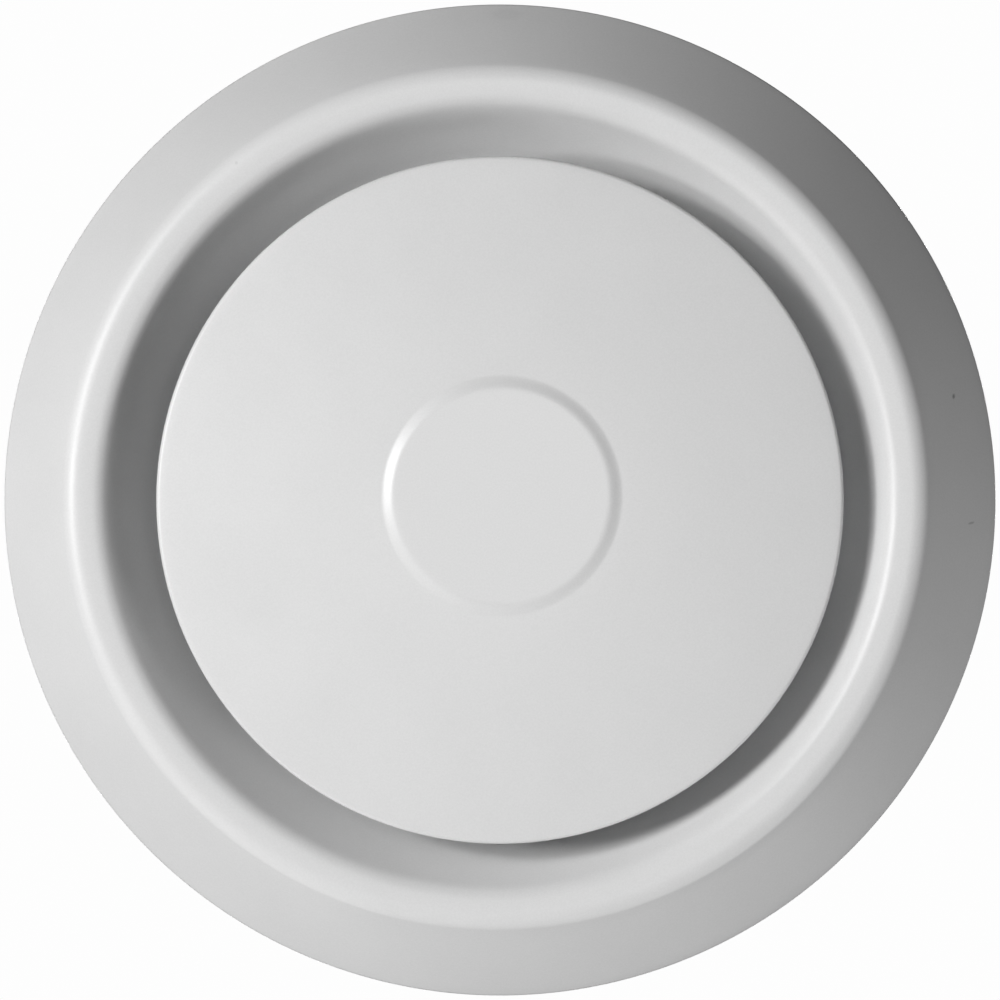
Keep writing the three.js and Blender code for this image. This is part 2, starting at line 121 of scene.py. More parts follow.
def revolve(name, profile, segments=FINE_RINGS, base=0.0, warp=None):
    """Spins a closed (radius, height) profile about Z. warp may move the points before base lifts them."""
    profile = without_repeats(profile)
    on_axis = [radius < 1e-6 for radius, _ in profile]
    verts, rows = [], []
    for (radius, height), axial in zip(profile, on_axis):
        if axial:
            rows.append([len(verts)] * segments)
            verts.append([0.0, 0.0, height])
            continue
        rows.append(list(range(len(verts), len(verts) + segments)))
        for k in range(segments):
            angle = 2 * math.pi * k / segments
            verts.append([radius * math.cos(angle), radius * math.sin(angle), height])
    faces = []
    for i in range(len(profile)):
        j = (i + 1) % len(profile)
        if on_axis[i] and on_axis[j]:
            continue
        for k in range(segments):
            after = (k + 1) % segments
            quad = [rows[i][k], rows[i][after], rows[j][after], rows[j][k]]
            quad = [q for m, q in enumerate(quad) if q not in quad[:m]]
            if len(quad) > 2:
                faces.append(quad)
    points = np.array(verts, float)
    if warp is not None:
        points = warp(points)
    points[:, 2] += base
    return new_object(name, points * MM, faces)


def extrude(name, outline, start, end, axis="z"):
    """A straight prism along an axis; the outline holds the other two coordinates in x, y, z order."""
    place = {
        "x": lambda u, v, along: (along, u, v),
        "y": lambda u, v, along: (u, along, v),
        "z": lambda u, v, along: (u, v, along),
    }[axis]
    n = len(outline)
    verts = [place(u * MM, v * MM, level * MM) for level in (start, end) for u, v in outline]
    low, high = list(range(n)), list(range(n, 2 * n))
    if axis == "z":
        faces = [low[::-1], high]
        faces += [[i, (i + 1) % n, n + (i + 1) % n, n + i] for i in range(n)]
    else:
        faces = [low, high[::-1]]
        faces += [[(i + 1) % n, i, n + i, n + (i + 1) % n] for i in range(n)]
    return new_object(name, verts, faces, smooth=False)


def threaded_rod(name, rows, segments, pitch):
    """rows: (height, crest radius, root radius). The thread is a helical ridge in the mesh itself."""
    verts = []
    for z, crest, root in rows:
        for k in range(segments):
            angle = 2 * math.pi * k / segments
            phase = (z / pitch - angle / (2 * math.pi)) % 1.0
            ridge = 1 - abs(2 * phase - 1)
            r = root + (crest - root) * min(1.0, max(0.0, (ridge - 0.10) / 0.78))
            verts.append((r * math.cos(angle), r * math.sin(angle), z))
    return new_object(name, np.array(verts) * MM, grid_faces(len(rows), segments))


def apply_modifiers(obj):
    graph = bpy.context.evaluated_depsgraph_get()
    evaluated = obj.evaluated_get(graph)
    mesh = bpy.data.meshes.new_from_object(evaluated, preserve_all_data_layers=True, depsgraph=graph)
    obj.modifiers.clear()
    old = obj.data
    obj.data = mesh
    bpy.data.meshes.remove(old)


def boolean(obj, cutter, operation="DIFFERENCE"):
    """Combines the cutter with obj and deletes the cutter."""
    modifier = obj.modifiers.new("b", "BOOLEAN")
    modifier.operation = operation
    modifier.solver = "EXACT"
    modifier.object = cutter
    bpy.context.view_layer.update()
    apply_modifiers(obj)
    mesh = cutter.data
    bpy.data.objects.remove(cutter)
    bpy.data.meshes.remove(mesh)


def shade(obj, angle):
    """Smooth shading, with edges sharper than angle kept sharp."""
    bm = bmesh.new()
    bm.from_mesh(obj.data)
    for edge in bm.edges:
        edge.smooth = not (len(edge.link_faces) == 2 and edge.calc_face_angle(0) > rad(angle))
    for face in bm.faces:
        face.smooth = True
    bm.to_mesh(obj.data)
    bm.free()
    obj.data.update()


def bevel(obj, width, segments, angle=35):
    modifier = obj.modifiers.new("bevel", "BEVEL")
    modifier.width = width * MM
    modifier.segments = segments
    modifier.limit_method = "ANGLE"
    modifier.angle_limit = rad(angle)
    bpy.context.view_layer.update()
    apply_modifiers(obj)
    shade(obj, 40)


def transform(obj, matrix):
    obj.data.transform(matrix)
    obj.data.update()


# ---------------------------------------------------------------- flat outlines and sheet sections
def circle(radius, count, x=0.0, y=0.0):
    angles = [2 * math.pi * i / count for i in range(count)]
    return [(x + radius * math.cos(a), y + radius * math.sin(a)) for a in angles]


def arc(x, y, radius, start, sweep, steps):
    angles = [rad(start + sweep * i / steps) for i in range(steps + 1)]
    return [(x + radius * math.cos(a), y + radius * math.sin(a)) for a in angles]


def densify(points, step, closed=False):
    """Keeps every span within step, with a short span at both ends of each long one."""
    points = list(points) + ([points[0]] if closed else [])
    out = [points[0]]
    for a, b in zip(points, points[1:]):
        span = math.hypot(b[0] - a[0], b[1] - a[1])
        if span > step * 1.01:
            is_long = span > 2 * step
            shares = [0.08 * step / span] if is_long else []
            n = max(1, int(math.ceil(span / step)))
            shares += [i / n for i in range(1, n)]
            shares += [1 - 0.08 * step / span] if is_long else []
            out += [(a[0] + (b[0] - a[0]) * t, a[1] + (b[1] - a[1]) * t) for t in shares]
        out.append(b)
    if closed:
        out.pop()
    return out


class Section:
    """A line in (radius, height) walked by slopes and bends.

    Angles are in degrees. A bend's are headings, counter-clockwise from outward.
    """

    def __init__(self, radius, height):
        self.points = [(radius, height)]

    def line(self, out, up):
        r, z = self.points[-1]
        self.points.append((r + out, z + up))
        return self

    def rise_to(self, height):
        return self.line(0, height - self.points[-1][1])

    def slope(self, to_radius, start, end, steps, sign=1):
        """Steepness runs from start to end; sign 1 climbs outward, -1 climbs inward."""
        r0, z = self.points[-1]
        for i in range(1, steps + 1):
            steepness = start + (end - start) * (i - 0.5) / steps
            z += (to_radius - r0) / steps * sign * math.tan(rad(steepness))
            self.points.append((r0 + (to_radius - r0) * i / steps, z))
        return self

    def bend(self, radius, start, end, steps):
        r0, z0 = self.points[-1]
        turn = 1 if end > start else -1
        centre_r = r0 - turn * radius * math.sin(rad(start))
        centre_z = z0 + turn * radius * math.cos(rad(start))
        for i in range(1, steps + 1):
            a = rad(start + (end - start) * i / steps)
            self.points.append((centre_r + turn * radius * math.sin(a),
                                centre_z - turn * radius * math.cos(a)))
        return self


def left_normal(a, b):
    across, up = b[0] - a[0], b[1] - a[1]
    length = math.hypot(across, up)
    return -up / length, across / length


def offset(points, distance):
    """Each point moved by distance to the left of the heading, with mitred corners."""
    out = []
    last = len(points) - 1
    for i, p in enumerate(points):
        before, after = points[max(i - 1, 0)], points[min(i + 1, last)]
        n0 = left_normal(before, p) if i else left_normal(p, after)
        n1 = left_normal(p, after) if i < last else left_normal(before, p)
        m = (n0[0] + n1[0], n0[1] + n1[1])
        k = 2 / (m[0] ** 2 + m[1] ** 2)
        out.append((p[0] + distance * m[0] * k, p[1] + distance * m[1] * k))
    return out


def edge_round(p, q, steps=5):
    """Inner points of a half round from p to q, to the right of the line from p to q."""
    centre_r, centre_z = (p[0] + q[0]) / 2, (p[1] + q[1]) / 2
    ur, uz = p[0] - centre_r, p[1] - centre_z
    out = []
    for i in range(1, steps):
        c, s = math.cos(math.pi * i / steps), math.sin(math.pi * i / steps)
        out.append((centre_r + ur * c - uz * s, centre_z + uz * c + ur * s))
    return out


def join_faces(face, back):
    """Closed section of a sheet from its two faces."""
    return face + edge_round(face[-1], back[-1]) + back[::-1] + edge_round(back[0], face[0])


def height_at(line, radius):
    """Height where the line first passes a radius."""
    for p, q in zip(line, line[1:]):
        if min(p[0], q[0]) <= radius <= max(p[0], q[0]) and p[0] != q[0]:
            return p[1] + (q[1] - p[1]) * (radius - p[0]) / (q[0] - p[0])
    return line[-1][1]


def spline(points, steps):
    """Catmull-Rom through the points."""
    ends = [points[0]] + list(points) + [points[-1]]
    out = []
    for a, b, c, d in zip(ends, ends[1:], ends[2:], ends[3:]):
        for k in range(steps):
            t = k / steps
            out.append(tuple(
                0.5 * ((2 * b[j]) + (-a[j] + c[j]) * t
                       + (2 * a[j] - 5 * b[j] + 4 * c[j] - d[j]) * t * t
                       + (-a[j] + 3 * b[j] - 3 * c[j] + d[j]) * t ** 3)
                for j in (0, 1)))
    out.append(tuple(points[-1]))
    return out


# ---------------------------------------------------------------- materials
class Surface:
    """A material being built round one Principled shader, textured in object coordinates."""

    def __init__(self, name):
        self.material = bpy.data.materials.new(name)
        self.material.use_nodes = True
        self.tree = self.material.node_tree
        self.tree.nodes.clear()
        self.output = self.add("OutputMaterial")
        self.shader = self.add("BsdfPrincipled")
        self.feed(self.output.inputs[0], self.shader.outputs[0])
        self.coords = self.add("TexCoord").outputs["Object"]

    def add(self, kind, **settings):
        node = self.tree.nodes.new("ShaderNode" + kind)
        for key, value in settings.items():
            setattr(node, key, value)
        return node

    def feed(self, socket, value):
        """Links a socket's value, or stores a number, vector or colour."""
        if isinstance(value, bpy.types.NodeSocket):
            self.tree.links.new(value, socket)
        elif socket.type == "RGBA":
            socket.default_value = (*value, 1)
        else:
            socket.default_value = value

    def set(self, name, value):
        self.feed(self.shader.inputs[name], value)

    def noise(self, scale, detail, roughness=0.5, distortion=0.0, coords=None, output="Fac"):
        node = self.add("TexNoise")
        node.inputs["Scale"].default_value = scale
        node.inputs["Detail"].default_value = detail
        node.inputs["Roughness"].default_value = roughness
        node.inputs["Distortion"].default_value = distortion
        self.feed(node.inputs["Vector"], coords or self.coords)
        return node.outputs[output]

    def ramp(self, factor, stops):
        """stops: (position, grey level or colour)."""
        node = self.add("ValToRGB")
        elements = node.color_ramp.elements
        while len(elements) < len(stops):
            elements.new(0.5)
        for element, (position, c) in zip(elements, stops):
            element.position = position
            element.color = (c, c, c, 1) if isinstance(c, (int, float)) else (*c, 1)
        self.feed(node.inputs["Fac"], factor)
        return node.outputs[0]

    def mix(self, factor, a, b, blend="MIX"):
        node = self.add("Mix", data_type="RGBA", blend_type=blend)
        for index, value in ((0, factor), (6, a), (7, b)):
            self.feed(node.inputs[index], value)
        return node.outputs[2]

    def multiply(self, a, b):
        return self.mix(1.0, a, b, "MULTIPLY")

    def math(self, operation, a, b, clamp=False):
        node = self.add("Math", operation=operation, use_clamp=clamp)
        self.feed(node.inputs[0], a)
        self.feed(node.inputs[1], b)
        return node.outputs[0]

    def length(self, vector):
        node = self.add("VectorMath", operation="LENGTH")
        self.feed(node.inputs[0], vector)
        return node.outputs["Value"]

    def bump(self, height, strength, distance, under=None):
        node = self.add("Bump")
        node.inputs["Strength"].default_value = strength
        node.inputs["Distance"].default_value = distance
        self.feed(node.inputs["Height"], height)
        if under is not None:
            self.feed(node.inputs["Normal"], under)
        self.set("Normal", node.outputs[0])
        return node.outputs[0]


WHITE = (0.74, 0.74, 0.74)
SCUFF_GREY = (0.25, 0.25, 0.25)
# x, y, z in mm, radius in mm, stretch, angle in radians, depth of the grey
RING_SCUFFS = [
    (86.8, -19.9, CEIL - 9.9, 0.42, 1.7, 1.75, 0.85),      # chip
    (90.5, 4.3, CEIL - 7.9, 0.30, 7.0, -0.24, 0.50),       # fine scratch
    (1.2, -93.0, CEIL - 4.8, 1.5, 2.4, 0.0, 0.07),         # smudge
    (-50.2, -64.2, CEIL - 18.6, 0.42, 1.0, 0.0, 0.22),     # speck
]


def scuff_amount(s, break_up, x, y, z, radius, stretch, angle, depth):
    """A soft spot broken up by noise."""
    mapping = s.add("Mapping", vector_type="TEXTURE")
    mapping.inputs["Location"].default_value = (x * MM, y * MM, z * MM)
    mapping.inputs["Rotation"].default_value = (0, 0, angle)
    mapping.inputs["Scale"].default_value = (radius * MM * stretch, radius * MM, radius * MM * 3)
    s.feed(mapping.inputs["Vector"], s.coords)
    soft = s.math("SUBTRACT", 1.0, s.length(mapping.outputs[0]), clamp=True)
    broken = s.ramp(break_up, [(0.30, 0.25), (0.52, 1.0)])
    spot = s.math("MULTIPLY", soft, 2.2, clamp=True)
    return s.math("MULTIPLY", s.math("MULTIPLY", spot, broken), depth, clamp=True)


def powder_coat(name, roughness, scuffs=()):
    """White powder coat: fine orange peel, faint mottling, a few rub marks."""
    s = Surface(name)
    fine = s.noise(scale=2600, detail=3, roughness=0.62)
    peel = s.noise(scale=1050, detail=2)
    cloud = s.noise(scale=55, detail=4, roughness=0.6)
    rub = s.noise(scale=1500, detail=4, roughness=0.6, distortion=0.4)
    mottle = s.ramp(cloud, [(0.3, [c * 0.985 for c in WHITE]), (0.7, [c * 1.01 for c in WHITE])])
    grain = s.ramp(fine, [(0.36, 0.962), (0.64, 1.0)])
    colour = s.multiply(mottle, grain)
    for scuff in scuffs:
        colour = s.mix(scuff_amount(s, rub, *scuff), colour, SCUFF_GREY)
    s.set("Base Color", colour)
    s.set("Roughness", s.ramp(cloud, [(0.25, roughness - 0.03), (0.75, roughness + 0.04)]))
    s.set("IOR", 1.5)
    peel_normal = s.bump(peel, strength=0.10, distance=0.00012)
    s.bump(fine, strength=0.13, distance=0.00005, under=peel_normal)
    return s.material


def galvanised(name):
    """Hot-dip spangle: crystal cells of differing brightness and roughness, with light scratches."""
    s = Surface(name)
    warp = s.noise(scale=90, detail=3, roughness=0.6, output="Color")
    cells = s.add("TexVoronoi")
    cells.inputs["Scale"].default_value = 210
    cells.inputs["Randomness"].default_value = 1.0
    shift = s.add("VectorMath", operation="MULTIPLY_ADD")
    s.feed(shift.inputs[0], warp)
    shift.inputs[1].default_value = (0.006, 0.006, 0.006)
    s.feed(shift.inputs[2], s.coords)
    s.feed(cells.inputs["Vector"], shift.outputs[0])
    random = s.add("SeparateColor")
    s.feed(random.inputs[0], cells.outputs["Color"])
    spangle = s.ramp(random.outputs[0], [
        (0.0, (0.50, 0.52, 0.54)), (0.5, (0.62, 0.635, 0.65)), (1.0, (0.74, 0.75, 0.76))])
    streak = s.noise(scale=700, detail=4, roughness=0.7, distortion=0.3)
    scratches = s.ramp(streak, [(0.35, 0.86), (0.6, 1.0)])
    s.set("Base Color", s.multiply(spangle, scratches))
    s.set("Roughness", s.ramp(random.outputs[1], [(0.0, 0.30), (1.0, 0.52)]))
    s.set("Metallic", 0.92)
    s.bump(streak, strength=0.12, distance=0.00008)
    return s.material


STRAW = (0.80, 0.78, 0.66)


def plated(name, colour, roughness):
    """Zinc plate with a faint straw tint and fine marks."""
    s = Surface(name)
    cloud = s.noise(scale=260, detail=3, roughness=0.6)
    fine = s.noise(scale=2400, detail=3, roughness=0.6)
    tinted = s.mix(s.ramp(cloud, [(0.42, 0.0), (0.70, 0.45)]), colour, STRAW)
    dirt = s.ramp(fine, [(0.30, 0.82), (0.55, 1.0)])
    s.set("Base Color", s.multiply(tinted, dirt))
    s.set("Roughness", s.ramp(fine, [(0.3, roughness + 0.12), (0.7, roughness - 0.04)]))
    s.set("Metallic", 0.95)
    s.bump(fine, strength=0.08, distance=0.00004)
    return s.material


def spring_steel(name):
    """Grey steel with fine lines drawn out along Z."""
    s = Surface(name)
    mapping = s.add("Mapping")
    mapping.inputs["Scale"].default_value = (1, 1, 0.08)
    s.feed(mapping.inputs["Vector"], s.coords)
    lines = s.noise(scale=3800, detail=3, roughness=0.6, coords=mapping.outputs[0])
    cloud = s.noise(scale=300, detail=3, roughness=0.6)
    tone = s.ramp(cloud, [(0.3, (0.36, 0.37, 0.39)), (0.7, (0.50, 0.51, 0.53))])
    line_tone = s.ramp(lines, [(0.35, 0.85), (0.65, 1.0)])
    s.set("Base Color", s.multiply(tone, line_tone))
    s.set("Roughness", s.ramp(lines, [(0.3, 0.36), (0.7, 0.24)]))
    s.set("Metallic", 1.0)
    s.bump(lines, strength=0.08, distance=0.00004)
    return s.material


def rubber(name):
    """Black rubber with a little grey dust."""
    s = Surface(name)
    fine = s.noise(scale=2200, detail=3, roughness=0.6)
    dust = s.noise(scale=160, detail=4, roughness=0.65)
    s.set("Base Color", s.ramp(dust, [(0.45, (0.022, 0.022, 0.024)), (0.78, (0.065, 0.065, 0.066))]))
    s.set("Roughness", s.ramp(fine, [(0.3, 0.62), (0.7, 0.5)]))
    s.bump(fine, strength=0.2, distance=0.00006)
    return s.material


def foam(name):
    """Closed-cell foam with tiny pores, painted darker as shade in them."""
    s = Surface(name)
    cells = s.add("TexVoronoi")
    cells.inputs["Scale"].default_value = 1500
    s.feed(cells.inputs["Vector"], s.coords)
    distance = cells.outputs["Distance"]
    cloud = s.noise(scale=500, detail=3, roughness=0.6)
    # painted shade: the colour darkens towards each pore's middle
    pores = s.ramp(distance, [(0.15, 0.45), (0.6, 1.0)])
    tone = s.ramp(cloud, [(0.3, (0.040, 0.040, 0.043)), (0.7, (0.075, 0.075, 0.078))])
    s.set("Base Color", s.multiply(tone, pores))
    s.set("Roughness", 0.95)
    s.bump(distance, strength=0.6, distance=0.00025)
    return s.material


# each finish is a material and its slot
RING_WHITE = (powder_coat("powder_coat_ring", 0.42, RING_SCUFFS), "powder_white")
DISC_WHITE = (powder_coat("powder_coat_disc", 0.36), "powder_white")
GALVANISED = (galvanised("galvanised_sheet"), "galvanised_steel")
ZINC = (plated("zinc_plate", colour=(0.70, 0.71, 0.72), roughness=0.27), "zinc_plated")
DULL_ZINC = (plated("zinc_plate_dull", colour=(0.62, 0.63, 0.63), roughness=0.36), "zinc_plated")
STEEL = (spring_steel("spring_steel"), "spring_steel")
RUBBER = (rubber("seal_rubber"), "seal_rubber")
FOAM = (foam("gasket_foam"), "gasket_foam")


def finish_piece(obj, finish, body, replaced):
    """Coats a piece and lets it ride on one body."""
    material, slot = finish
    obj.data.materials.clear()
    obj.data.materials.append(material)
    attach(obj, body)
    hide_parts(replaced)


def finish_spring(obj, replaced):
    """Coats a spring and bakes its placement into its mesh."""
    material, slot = STEEL
    obj.data.materials.clear()
    obj.data.materials.append(material)
    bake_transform(obj)
    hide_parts(replaced)


# ---------------------------------------------------------------- face ring
def ring_front_line():
    """The ring's front face, from the rim inwards and up to the collar's top."""
    throat_bend = 6.0
    line = Section(RIM_R, RIM_TOP).line(out=0, up=-RIM_EDGE)
    line.bend(radius=1.2, start=270, end=180 + 51.8, steps=8)
    line.slope(to_radius=82.6, start=51.8, end=49.8, steps=14)                # flange
    line.bend(radius=4.2, start=180 + 49.8, end=180 - 3, steps=20)            # crown
    line.slope(to_radius=76.8, start=3, end=8, steps=8, sign=-1)
    line.bend(radius=3.8, start=180 - 8, end=180 - 45, steps=10)
    line.bend(radius=9.0, start=180 - 45, end=180 - 53, steps=6)
    line.slope(to_radius=66.5, start=53, end=53, steps=6, sign=-1)            # throat
    line.bend(radius=20.0, start=180 - 53, end=180 - 40, steps=6)
    line.slope(to_radius=COLLAR_IN + throat_bend * (1 - math.sin(rad(40))),
               start=40, end=40, steps=5, sign=-1)
    line.bend(radius=throat_bend, start=180 - 40, end=90, steps=12)
    return line.rise_to(COLLAR_TOP).points


def press_ring_off_centre(v):
    """Crown and throat sit a little off the rim's centre; the rim and the collar stay true."""
    r = np.hypot(v[:, 0], v[:, 1])
    weight = np.minimum(np.clip((94.0 - r) / 10.5, 0, 1), np.clip((r - 57.5) / 13.5, 0, 1))
    v[:, 0] += -0.82 * weight
    v[:, 1] += -0.52 * weight
    return v


RING_FRONT = ring_front_line()


def build_face_ring():
    front = densify(RING_FRONT, 1.6)
    ring = revolve("face_ring_shell", join_faces(front, offset(front, -SHEET)),
                   base=CEIL, warp=press_ring_off_centre)
    finish_piece(ring, RING_WHITE, "valve_body", "face_ring")
    return ring


face_ring = build_face_ring()

# ---------------------------------------------------------------- front disc, heights from the plateau
PLATEAU_R = 20.0
STEP_WIDTH, STEP_HEIGHT = 2.8, 0.8
# rounded step round the plateau: share of the width, share of the height
STEP = [(0.12, 0.02), (0.24, 0.075), (0.36, 0.18), (0.48, 0.33), (0.60, 0.50),
        (0.72, 0.66), (0.84, 0.81), (0.95, 0.92), (1.05, 0.985), (1.16, 1.0)]
DISC_SLOPE_END = 7.8     # steepness at the edge, degrees
LIP_BEND = 0.8


def disc_face_line():
    """The disc's front face from the axis to where the lip's bend starts."""
    line = Section(0, 0).line(out=PLATEAU_R, up=0)
    line.points += [(PLATEAU_R + w * STEP_WIDTH, h * STEP_HEIGHT) for w, h in STEP]
    line.slope(to_radius=DISC_R - LIP_BEND * (1 - math.sin(rad(DISC_SLOPE_END))),
               start=3.8, end=DISC_SLOPE_END, steps=30)
    return line


DISC_FACE = disc_face_line()
DISC_BACK = offset(DISC_FACE.points, SHEET)


def press_plateau_off_centre(v):
    r = np.hypot(v[:, 0], v[:, 1])
    weight = np.clip((46 - r) / 20, 0, 1)
    weight = weight * weight * (3 - 2 * weight)
    v[:, 0] += 0.32 * weight
    v[:, 1] += -0.77 * weight
    return v


def build_front_disc():
    back = [p for p in DISC_BACK if p[0] < DISC_R - 1.25]
    lip_in = DISC_R - 1.0
    corner = back[-1][1] + (lip_in - back[-1][0]) * math.tan(rad(DISC_SLOPE_END))
    back += [(DISC_R - 1.25, corner - 0.03), (DISC_R - 1.07, corner + 0.05),
             (lip_in, corner + 0.22), (lip_in, DISC_LIP_TOP)]
    DISC_FACE.bend(radius=LIP_BEND, start=DISC_SLOPE_END, end=90, steps=8).rise_to(DISC_LIP_TOP)
    front = densify(DISC_FACE.points, 1.5)
    profile = front + edge_round(front[-1], back[-1]) + densify(back, 2.0)[::-1]
    disc = revolve("front_disc_shell", profile, warp=press_plateau_off_centre)
    finish_piece(disc, DISC_WHITE, "disc_assembly", "front_disc")
    return disc


front_disc = build_front_disc()

# ---------------------------------------------------------------- mounting frame: flange and duct sleeve
FRAME_SHEET = 0.8
FRAME_FLANGE_R = 86.0
SLEEVE_R = 61.1          # middle of the sheet
SLEEVE_BEND = 1.7
BEADS = [(11.0, 0.75, 1.5), (27.5, 0.75, 1.5), (42.0, 0.45, 1.2)]    # height, swell, half width
SEAM_ANGLE = 52
SPOT_HEIGHTS = (6.0, 16.5, 22.0, 36.0, 38.5)
SCREW_CIRCLE_R = 76
SCREWS = [(SCREW_CIRCLE_R * math.cos(rad(a)), SCREW_CIRCLE_R * math.sin(rad(a)))
          for a in (30, 150, 270)]


def frame_middle_line():
    line = Section(FRAME_FLANGE_R, -FRAME_SHEET / 2)
    line.line(out=-(FRAME_FLANGE_R - SLEEVE_R - SLEEVE_BEND), up=0)
    line.bend(radius=SLEEVE_BEND, start=180, end=90, steps=8)
    z = line.points[-1][1]
    points = densify(line.points, 1.5)
    while z < SLEEVE_TOP - 0.3:
        z = min(z + 0.35, SLEEVE_TOP - 0.3)
        r = SLEEVE_R
        for centre, swell, half_width in BEADS:
            d = (z - centre) / half_width
            if abs(d) < 1:
                r += swell * (math.cos(math.pi * d) + 1) / 2
        points.append((r, z))
    return points


def raise_seam(v):
    """The lapped joint of the sleeve's strip: a raised band outside, dented by spot welds."""
    r = np.hypot(v[:, 0], v[:, 1])
    angle = np.degrees(np.arctan2(v[:, 1], v[:, 0]))
    z = v[:, 2]
    outer = (r > 61.2) & (r < 63.5) & (z > 2.2)
    band = np.clip((5.2 - np.abs(angle - SEAM_ANGLE)) / 0.9, 0, 1)
    lift = 0.55 * band * band * (3 - 2 * band) * np.clip((z - 2.2) / 0.6, 0, 1)
    across = (angle - SEAM_ANGLE) * 61.5 * math.pi / 180
    dent = np.zeros(len(v))
    for height in SPOT_HEIGHTS:
        dent += 0.5 * np.exp(-((across / 1.35) ** 2 + ((z - height) / 1.35) ** 2) ** 1.6)
    move = np.where(outer, lift - np.minimum(dent, 0.5) * band, 0)
    scale = (r + move) / np.maximum(r, 1e-6)
    v[:, 0] *= scale
    v[:, 1] *= scale
    return v


def build_mounting_frame():
    middle = frame_middle_line()
    outer = offset(middle, -FRAME_SHEET / 2)     # towards the ceiling's far side and the duct wall
    inner = offset(middle, FRAME_SHEET / 2)
    obj = revolve("duct_mounting_frame", join_faces(outer, inner), segments=540,
                  base=CEIL, warp=raise_seam)
    for x, y in SCREWS:
        boolean(obj, extrude("hole", circle(2.35, 40, x, y), CEIL - 4, CEIL + 4))
    shade(obj, 50)
    finish_piece(obj, GALVANISED, "duct_frame", "mounting_frame")


build_mounting_frame()

# ---------------------------------------------------------------- duct lip seal: a band with two swept lips
SEAL_R = 61.8
# radius, height
SEAL = [
    (SEAL_R, 33.0), (SEAL_R + 0.95, 33.0), (SEAL_R + 1.0, 33.5), (SEAL_R + 1.0, 34.1),
    # lower lip
    (62.95, 34.35), (63.6, 34.95), (64.1, 35.75), (64.35, 36.3), (64.4, 36.6), (64.25, 36.72),
    (64.0, 36.45), (63.5, 35.75), (63.1, 35.35), (62.85, 35.3), (62.8, 35.9), (62.85, 36.7),
    # upper lip
    (63.0, 37.0), (63.5, 37.5), (63.95, 38.2), (64.2, 38.8), (64.22, 39.1), (64.05, 39.15),
    (63.8, 38.9), (63.4, 38.35), (63.05, 38.0), (62.8, 38.05), (62.75, 38.8), (62.7, 39.4),
    (SEAL_R + 0.6, 39.5), (SEAL_R, 39.5),
]


def build_lip_seal():
    seal = revolve("sleeve_lip_seal", densify(SEAL, 0.4, closed=True), base=CEIL)
    finish_piece(seal, RUBBER, "duct_frame", "duct_lip_seal")


build_lip_seal()

# ---------------------------------------------------------------- rim gasket
GASKET_IN, GASKET_OUT = 91.0, 93.9


def soften(v):
    """Makes the foam uneven and sinks it slightly."""
    for i, (x, y, z) in enumerate(v):
        small = noise.noise(Vector((x * 0.55, y * 0.55, z * 0.55)))
        large = noise.noise(Vector((x * 0.12 + 7, y * 0.12, z * 0.12)))
        r = math.hypot(x, y)
        k = (r + 0.05 * small + 0.08 * large) / r
        v[i] = (x * k, y * k, z + (0.05 * small if -0.5 < z < 0.1 else 0) - 0.05)
    return v


def build_gasket():
    flange_back = [p for p in offset(RING_FRONT, -SHEET) if p[0] > 80]

    def on_flange(radius, lift, inset=0.0):
        return radius + inset, height_at(flange_back, radius + inset) + lift

    profile = [
        on_flange(GASKET_IN, 0.3, inset=0.25), on_flange(GASKET_OUT, 0.3, inset=-0.15),
        on_flange(GASKET_OUT, 0.45), (GASKET_OUT, -0.25), (GASKET_OUT - 0.25, 0),
        (GASKET_IN + 0.3, 0), (GASKET_IN, -0.3), on_flange(GASKET_IN, 0.55),
    ]
    gasket = revolve("rim_foam_gasket", densify(profile, 0.7, closed=True), base=CEIL, warp=soften)
    finish_piece(gasket, FOAM, "valve_body", "face_gasket")


build_gasket()

# ---------------------------------------------------------------- bridge: a strip along X with upturned ends
BRIDGE_HALF = 55.0           # half length
BRIDGE_HALF_WIDTH = 9.0
BRIDGE_SHEET = 1.5
BRIDGE_HEIGHT = 13.0
BRIDGE_BEND = 2.5            # outside radius
TAB_CORNER = 3.5
BRIDGE_RIVET_Y, BRIDGE_RIVET_Z = 5.0, 17.0
BRIDGE_RIVETS = [(1, 1), (1, -1), (-1, 1), (-1, -1)]     # sides along x and y


def bridge_outline():
    top = BRIDGE_LOW + BRIDGE_HEIGHT
    bend_centre = (BRIDGE_HALF - BRIDGE_BEND, BRIDGE_LOW + BRIDGE_BEND)
    right = arc(*bend_centre, BRIDGE_BEND, start=-90, sweep=90, steps=8)
    right += [(BRIDGE_HALF, top), (BRIDGE_HALF - BRIDGE_SHEET, top)]
    right += arc(*bend_centre, BRIDGE_BEND - BRIDGE_SHEET, start=0, sweep=-90, steps=8)
    left = [(-x, z) for x, z in right][::-1]
    return [(x, z + CEIL) for x, z in right + left]


def tab_outline():
    low, top = CEIL + BRIDGE_LOW - 2, CEIL + BRIDGE_LOW + BRIDGE_HEIGHT
    y, z = BRIDGE_HALF_WIDTH - TAB_CORNER, top - TAB_CORNER
    return ([(-BRIDGE_HALF_WIDTH, low), (BRIDGE_HALF_WIDTH, low)]
            + arc(y, z, TAB_CORNER, start=0, sweep=90, steps=6)
            + arc(-y, z, TAB_CORNER, start=90, sweep=90, steps=6))


